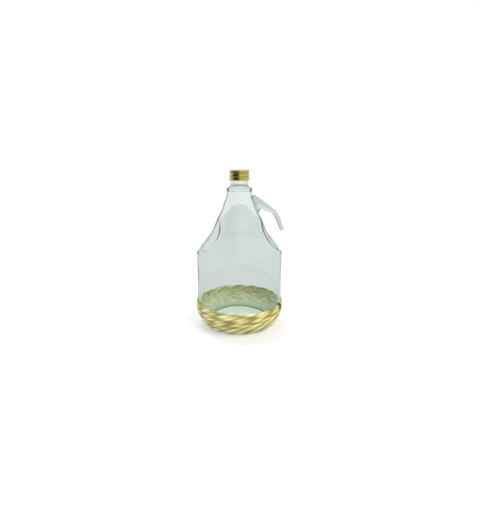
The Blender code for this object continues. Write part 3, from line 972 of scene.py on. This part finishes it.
def coil(straw, outline, pitch, thickness, starts, seed):
    """Adds strands side by side that wind round along the outline, from its start to its end."""
    row = seed * COIL_NOISE_SPREAD
    for start in range(starts):
        rings, alongs = [], []
        along = start * COIL_SHIFT
        middle = pitch / 2
        turn = TAU * start / starts
        while middle < outline.length - pitch / 2:
            radius = outline.at(middle)[0]
            wander = noise.noise(Vector((along / STRAND_WANDER_LENGTH, row, COIL_WANDER_LAYER)))
            swell = noise.noise(Vector((along / STRAND_LENS, row, COIL_SWELL_LAYER)))
            width = pitch * COIL_OVERLAP_SHARE * (1 + STRAND_SWELL_SHARE * swell)
            height = thickness * (1 + STRAND_SWELL_SHARE * wander)
            place = middle + COIL_WANDER * wander
            rings.append(lens_ring(outline, place, turn, width, height, 0.0, COIL_TILT, STRAND_EDGE_SHARE))
            alongs.append(along)
            step = min(COIL_STEP, radius / 2)
            along += step
            turn += step / radius
            middle += starts * pitch * step / radius / TAU
        tones = []
        streak_row = (seed + start) * COIL_STREAK_SPREAD
        for i, along in enumerate(alongs):
            streak = noise.noise(Vector((along / COIL_LEAF, streak_row, COIL_STREAK_LAYER)))
            tones.append(COIL_TONE + COIL_TONE_RISE * (1 - i / len(alongs)) + COIL_CONTRAST * streak)
        straw.add(rings, alongs, tones)


def build_basket(finish):
    outline = strand_outline()
    for index in range(STRAND_COUNT):
        build_strand(index, outline, finish)
    lining = [(BASE_OPENING_RADIUS, COIL_FLOOR_Z), (LINING_FLAT_RADIUS, COIL_FLOOR_Z)]
    lining += side_points(COIL_OFFSET, COIL_FLOOR_Z + COIL_THICKNESS / 2)
    lining.append((BASKET_RADIUS - COIL_OFFSET, LINING_TOP_Z))
    straw = Straw()
    coil(straw, Outline(lining), COIL_PITCH, COIL_THICKNESS, COIL_STARTS, LINING_SEED)
    edge_radius = BASE_OPENING_RADIUS + LINING_EDGE_PITCHES * COIL_PITCH
    edge = Outline([(BASE_OPENING_RADIUS, COIL_FLOOR_Z), (edge_radius, COIL_FLOOR_Z)])
    coil(straw, edge, COIL_PITCH, COIL_THICKNESS * COIL_EDGE_SHARE, 1, LINING_EDGE_SEED)
    dress(piece("basket_lining", straw.bm, finish), "basket", "straw", "inner_weave")
    layer = MAT_COIL_THICKNESS * (1 + STRAND_SWELL_SHARE)
    straw = Straw()
    for i, seed in enumerate(MAT_LAYER_SEEDS):
        z = layer * (i + 0.5)
        ring = Outline([(BASE_OPENING_RADIUS, z), (MAT_COIL_RADIUS, z)])
        coil(straw, ring, MAT_COIL_PITCH, MAT_COIL_THICKNESS, 1, seed)
    dress(piece("basket_base", straw.bm, finish), "basket", "straw", "base_mat")
    centre = (
        BASKET_RADIUS + STRAND_PROUD - STRAND_THICKNESS / 2 - STRAND_FOLD_RADIUS,
        RIM_TOP_Z - STRAND_THICKNESS / 2 - STRAND_FOLD_RADIUS,
    )
    dress(piece("rim_core", rim_core(centre).bm, finish), "basket", "straw", "rim_rope")


def rim_core(centre):
    """Three twisted strands under the fold of the rim, which stop just short of a full turn."""
    straw = Straw()
    half = RIM_CORE_RADIUS / 2
    count = round(TAU * centre[0] / COIL_STEP)
    for ply in range(RIM_CORE_PLIES):
        rings, alongs = [], []
        for i in range(count + 1):
            turn = TAU * i / count
            twist = turn * RIM_CORE_TWISTS + TAU * ply / RIM_CORE_PLIES
            radius = centre[0] + half * math.cos(twist)
            z = centre[1] + half * math.sin(twist)
            ring = []
            for k in range(RIM_CORE_SIDES):
                angle = TAU * k / RIM_CORE_SIDES
                reach = radius + half * math.cos(angle)
                ring.append((reach * math.cos(turn), reach * math.sin(turn), z + half * math.sin(angle)))
            rings.append(ring)
            alongs.append(turn * centre[0] + ply)
        straw.add(rings[:-1], alongs[:-1], leaf_tones(alongs, ply, COIL_LEAF)[:-1])
    return straw


def new_material(name):
    made = bpy.data.materials.new(name)
    made.use_nodes = True
    return made, made.node_tree, made.node_tree.nodes["Principled BSDF"]


def feed(node, key, value):
    """Links another node's output to this input, or sets the input to a number, a vector or a colour."""
    if isinstance(value, bpy.types.NodeSocket):
        node.id_data.links.new(value, node.inputs[key])
    else:
        node.inputs[key].default_value = value


def add_node(tree, kind, inputs=None, **settings):
    """A node of this kind with its settings and then its inputs."""
    made = tree.nodes.new("ShaderNode" + kind)
    for key, value in settings.items():
        setattr(made, key, value)
    for key, value in (inputs or {}).items():
        feed(made, key, value)
    return made


def math_node(tree, operation, *values, clamp=False):
    return add_node(tree, "Math", dict(enumerate(values)), operation=operation, use_clamp=clamp).outputs[0]


def vector_node(tree, operation, *values):
    made = add_node(tree, "VectorMath", dict(enumerate(values)), operation=operation)
    return made.outputs["Value" if operation in ("DOT_PRODUCT", "LENGTH") else "Vector"]


def object_place(tree):
    return add_node(tree, "TexCoord").outputs["Object"]


def noise_node(tree, vector, scale, detail, roughness=0.5):
    inputs = {"Vector": vector, "Scale": scale, "Detail": detail, "Roughness": roughness}
    return add_node(tree, "TexNoise", inputs).outputs["Fac"]


def bump_node(tree, height, strength, distance):
    inputs = {"Height": height, "Strength": strength, "Distance": distance}
    return add_node(tree, "Bump", inputs).outputs["Normal"]


def ramp_node(tree, factor, stops):
    made = add_node(tree, "ValToRGB", {"Fac": factor})
    elements = made.color_ramp.elements
    while len(elements) < len(stops):
        elements.new(0.5)
    for element, (place, colour) in zip(elements, stops):
        element.position = place
        element.color = (*colour, 1.0)
    return made.outputs["Color"]


def mixed(tree, share, first, second):
    """The first value where the share is 0 and the second where it is 1."""
    inputs = {"Factor": share, "A": first, "B": second}
    return add_node(tree, "Mix", inputs, data_type="FLOAT").outputs["Result"]


def mixed_shaders(tree, share, first, second):
    return add_node(tree, "MixShader", {0: share, 1: first, 2: second}).outputs[0]


def smooth_step(tree, value, low_end, high_end, low_level, high_level):
    """The low level below the low end, the high level above the high end, and smooth between them."""
    inputs = {"Value": value, "From Min": low_end, "From Max": high_end}
    inputs.update({"To Min": low_level, "To Max": high_level})
    return add_node(tree, "MapRange", inputs, interpolation_type="SMOOTHSTEP").outputs["Result"]


def straw_material():
    """Dry straw: long fibres, paler and darker leaves, and painted shade along the strands' edges, where they
    meet their neighbours.
    """
    made, tree, shader = new_material("straw")
    place = add_node(tree, "UVMap", uv_map="strand").outputs["UV"]
    parts = add_node(tree, "SeparateXYZ", {0: place}).outputs
    tone = add_node(tree, "Attribute", attribute_name="tone").outputs["Fac"]
    across = parts["Y"]

    def stretched(scales):
        values = [math_node(tree, "MULTIPLY", *pair) for pair in zip((parts["X"], across, tone), scales)]
        return add_node(tree, "CombineXYZ", dict(enumerate(values))).outputs[0]

    fibres = noise_node(tree, stretched(STRAW_FIBRE_SCALES), *STRAW_FIBRES)
    patches = noise_node(tree, stretched(STRAW_PATCH_SCALES), *STRAW_PATCHES)
    mix = 0.0
    for source, share in zip((fibres, patches, tone), STRAW_SHARES):
        mix = math_node(tree, "MULTIPLY_ADD", source, share, mix)
    # Painted shade: the colour darkens towards each strand's edges, where it meets its neighbours.
    from_middle = math_node(tree, "ABSOLUTE", math_node(tree, "SUBTRACT", across, 0.5))
    edge = math_node(tree, "POWER", math_node(tree, "MULTIPLY", from_middle, 2.0), STRAW_EDGE_POWER)
    light = math_node(tree, "MULTIPLY_ADD", edge, -STRAW_EDGE_SHADE, 1.0)
    inputs = {"Factor": 1.0, "A": ramp_node(tree, mix, STRAW_STOPS), "B": light}
    edge_shaded = add_node(tree, "Mix", inputs, data_type="RGBA", blend_type="MULTIPLY")
    feed(shader, "Base Color", edge_shaded.outputs["Result"])
    feed(shader, "Roughness", math_node(tree, "MULTIPLY_ADD", fibres, *STRAW_ROUGHNESS))
    feed(shader, "Normal", bump_node(tree, fibres, *STRAW_BUMP))
    return made


def glass_material():
    """Clear moulded glass with a little blue-green in its depth and a faint ripple."""
    made, tree, shader = new_material("bottle_glass")
    thick = add_node(tree, "Attribute", attribute_name="handle").outputs["Fac"]
    feed(shader, "Base Color", ramp_node(tree, thick, ((0.0, GLASS_COLOUR), (1.0, HANDLE_COLOUR))))
    feed(shader, "Transmission Weight", 1.0)
    feed(shader, "IOR", GLASS_IOR)
    dust = noise_node(tree, object_place(tree), *GLASS_DUST)
    feed(shader, "Roughness", math_node(tree, "MULTIPLY", dust, GLASS_ROUGHNESS))
    ripple = noise_node(tree, object_place(tree), *GLASS_RIPPLE)
    feed(shader, "Normal", bump_node(tree, ripple, *GLASS_BUMP))
    path = add_node(tree, "LightPath").outputs
    lit = math_node(tree, "ADD", path["Is Shadow Ray"], path["Is Diffuse Ray"], clamp=True)
    clear = add_node(tree, "BsdfTransparent", {"Color": (*GLASS_SHADE, 1.0)})
    output = tree.nodes["Material Output"]
    feed(output, "Surface", mixed_shaders(tree, lit, shader.outputs[0], clear.outputs[0]))
    depth = add_node(tree, "VolumeAbsorption", {"Color": (*GLASS_TINT, 1.0), "Density": GLASS_DENSITY})
    feed(output, "Volume", depth.outputs[0])
    return made


def gold_material():
    """Gold-lacquered sheet metal, with fine rubbing round its turns."""
    made, tree, shader = new_material("cap_metal")
    patches = noise_node(tree, object_place(tree), *GOLD_PATCHES)
    stretched = vector_node(tree, "MULTIPLY", object_place(tree), GOLD_RUBBING_SCALES)
    rubbing = noise_node(tree, stretched, *GOLD_RUBBING)
    feed(shader, "Metallic", 1.0)
    feed(shader, "Base Color", ramp_node(tree, patches, GOLD_STOPS))
    feed(shader, "Roughness", math_node(tree, "MULTIPLY_ADD", rubbing, *GOLD_ROUGHNESS))
    feed(shader, "Normal", bump_node(tree, rubbing, *GOLD_BUMP))
    return made


def liner_material():
    made, tree, shader = new_material("cap_liner")
    grain = noise_node(tree, object_place(tree), *LINER_GRAIN)
    feed(shader, "Base Color", ramp_node(tree, grain, LINER_STOPS))
    feed(shader, "Roughness", LINER_ROUGHNESS)
    feed(shader, "Normal", bump_node(tree, grain, *LINER_BUMP))
    return made


def build_world():
    """White for what shows the backdrop, a room with a dark side for what mirrors it, and plain light.

    Behind a single wall of glass the room is dark to the left and right of the backdrop, which draws the
    bottle's edges.
    """
    world = bpy.data.worlds.new("studio")
    bpy.context.scene.world = world
    world.use_nodes = True
    tree = world.node_tree
    path = add_node(tree, "LightPath").outputs
    way = add_node(tree, "TexCoord").outputs["Generated"]
    level_way = vector_node(tree, "NORMALIZE", vector_node(tree, "MULTIPLY", way, (1.0, 1.0, 0.0)))
    dark_way = (math.cos(ROOM_DARK_WAY), math.sin(ROOM_DARK_WAY), 0.0)
    edge = math.cos(ROOM_DARK_HALF_WIDTH)
    edges = (edge - ROOM_EDGE_SOFTNESS, edge + ROOM_EDGE_SOFTNESS)
    towards = vector_node(tree, "DOT_PRODUCT", level_way, dark_way)
    mirrored = smooth_step(tree, towards, *edges, ROOM_BRIGHT, ROOM_DARK)
    back_way = (-math.sin(CAMERA_AZIMUTH), math.cos(CAMERA_AZIMUTH), 0.0)
    ahead = vector_node(tree, "DOT_PRODUCT", level_way, back_way)
    inside = smooth_step(tree, ahead, *[math.cos(angle) for angle in DARK_BAND_FAR], 0.0, 1.0)
    outside = smooth_step(tree, ahead, *[math.cos(angle) for angle in DARK_BAND_NEAR], 1.0, 0.0)
    one_wall = math_node(tree, "LESS_THAN", path["Transmission Depth"], ONE_WALL_DEPTH)
    band = math_node(tree, "MULTIPLY", math_node(tree, "MULTIPLY", inside, outside), one_wall)
    height = add_node(tree, "SeparateXYZ", {0: way}).outputs["Z"]
    beside = smooth_step(tree, height, *ROOM_HIGH, ROOM_THROUGH_GLASS, ROOM_HIGH_THROUGH_GLASS)
    level = mixed(tree, path["Is Glossy Ray"], WORLD_LIGHT, mirrored)
    level = mixed(tree, path["Is Transmission Ray"], level, mixed(tree, band, 1.0, beside))
    light = tree.nodes["Background"]
    feed(light, "Color", (1.0, 1.0, 1.0, 1.0))
    feed(light, "Strength", mixed(tree, path["Is Camera Ray"], level, 1.0))


def build_table():
    """A pale table that is white to the camera but for the soft shadow close to the object."""
    mesh = bpy.data.meshes.new("table")
    ends = ((-1, -TABLE_FRONT), (1, -TABLE_FRONT), (1, TABLE_BACK), (-1, TABLE_BACK))
    mesh.from_pydata([(side * TABLE_HALF_WIDTH, end, 0.0) for side, end in ends], [], [(0, 1, 2, 3)])
    table = bpy.data.objects.new("table", mesh)
    table.rotation_euler = (0.0, 0.0, CAMERA_AZIMUTH)
    collection().objects.link(table)
    made, tree, plain = new_material("table")
    feed(plain, "Base Color", (*TABLE_COLOUR, 1.0))
    feed(plain, "Roughness", TABLE_ROUGHNESS)
    path = add_node(tree, "LightPath").outputs
    shown = path["Is Camera Ray"]
    away = vector_node(tree, "LENGTH", object_place(tree))
    near_level = smooth_step(tree, away, *TABLE_SHADOW_REACH, TABLE_GLOW_NEAR, 1.0)
    behind = smooth_step(tree, away, *TABLE_UNDER_REACH, TABLE_UNDER_GLASS, TABLE_THROUGH_GLASS)
    level = mixed(tree, path["Is Transmission Ray"], TABLE_IN_GLOSS, behind)
    glow = add_node(tree, "Emission", {"Color": (*TABLE_GLOW_COLOUR, 1.0)})
    feed(glow, "Strength", mixed(tree, shown, level, near_level))
    lit = add_node(tree, "BsdfDiffuse", {"Color": mixed(tree, shown, TABLE_SHADOW_IN_GLASS, TABLE_SHADOW)})
    both = add_node(tree, "AddShader", {0: lit.outputs[0], 1: glow.outputs[0]})
    share = math_node(tree, "ADD", shown, path["Is Glossy Ray"])
    share = math_node(tree, "ADD", share, path["Is Transmission Ray"], clamp=True)
    surface = mixed_shaders(tree, share, plain.outputs[0], both.outputs[0])
    feed(tree.nodes["Material Output"], "Surface", surface)
    table.data.materials.append(made)


def build_lamp(name, place, size, power):
    data = bpy.data.lights.new(name, "AREA")
    data.shape = "SQUARE"
    data.size = size
    data.energy = power
    lamp = bpy.data.objects.new(name, data)
    lamp.location = place
    lamp.rotation_euler = (Vector(LAMP_TARGET) - Vector(place)).to_track_quat("-Z", "Y").to_euler()
    lamp.visible_glossy = False
    lamp.visible_transmission = False
    collection().objects.link(lamp)


def build_camera():
    data = bpy.data.cameras.new("camera")
    data.sensor_width = SENSOR
    data.lens = SENSOR * FOCAL_PIXELS / PHOTO_HEIGHT
    data.shift_x = SHIFT_PIXELS / PHOTO_HEIGHT
    data.clip_start = CAMERA_NEAR
    camera = bpy.data.objects.new("camera", data)
    camera.location = (
        CAMERA_DISTANCE * math.sin(CAMERA_AZIMUTH),
        -CAMERA_DISTANCE * math.cos(CAMERA_AZIMUTH),
        CAMERA_HEIGHT,
    )
    camera.rotation_euler = (math.pi / 2 - CAMERA_TILT, 0.0, CAMERA_AZIMUTH)
    collection().objects.link(camera)
    bpy.context.scene.camera = camera


bpy.context.scene.view_settings.view_transform = "Standard"
build_camera()
build_world()
build_table()
for lamp in LAMPS:
    build_lamp(*lamp)
build_bottle(glass_material())
build_cap(gold_material(), liner_material())
build_basket(straw_material())
